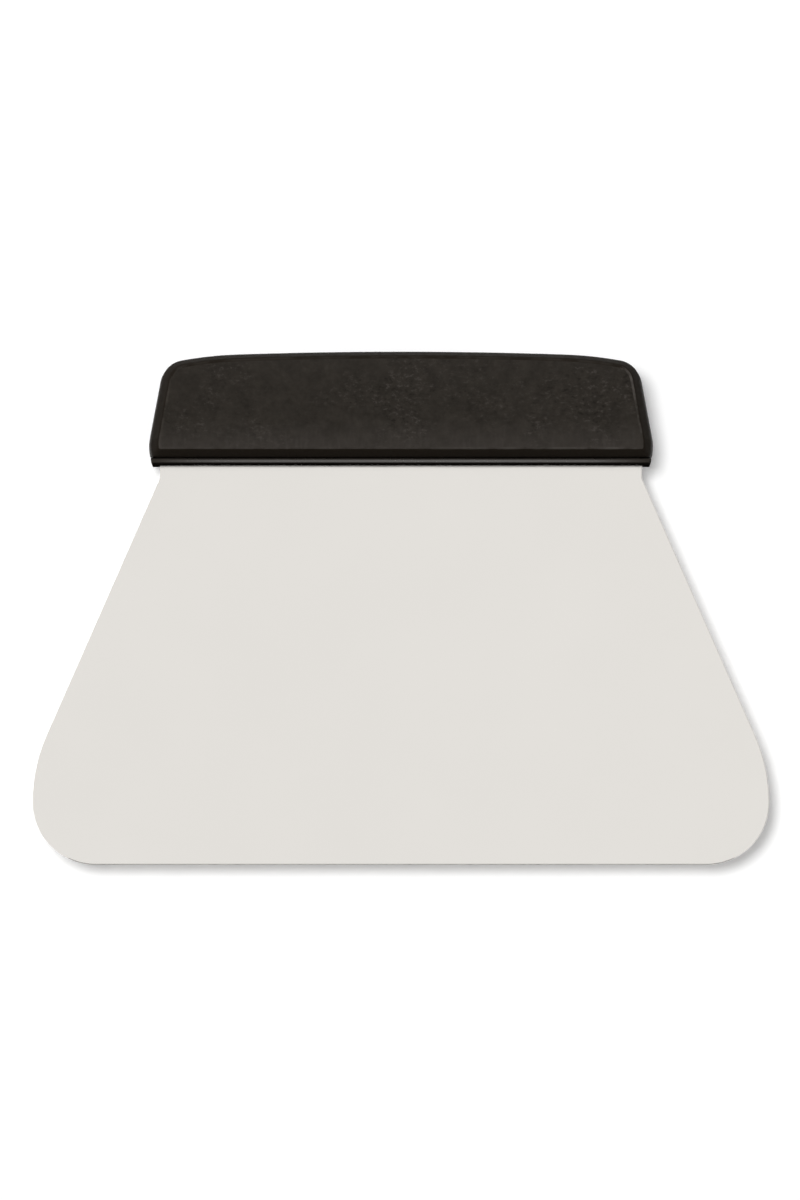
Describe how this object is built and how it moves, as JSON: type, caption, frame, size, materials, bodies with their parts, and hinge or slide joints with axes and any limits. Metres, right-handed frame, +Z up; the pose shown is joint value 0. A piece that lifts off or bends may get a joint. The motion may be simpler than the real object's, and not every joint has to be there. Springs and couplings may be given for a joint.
{
  "type": "dough scraper",
  "caption": "Trapezoid steel dough scraper with a straight working edge, rounded lower corners and a moulded black handle with a soft grip.",
  "frame": {"origin": "on the bench, under the centre of the box round the scraper as it lies on its back", "axes": "+X along the working edge, +Y from the working edge to the top of the handle, +Z up out of the front face"},
  "size_m": [0.1756, 0.1224, 0.0188],
  "materials": {
    "blade_steel": "satin stainless steel",
    "core_plastic": "semi-gloss black moulded plastic",
    "grip_rubber": "matte black soft moulded rubber"
  },
  "bodies": {
    "root": {"blade": "blade_steel", "handle_core": "core_plastic", "soft_grip": "grip_rubber"}
  },
  "joints": []
}
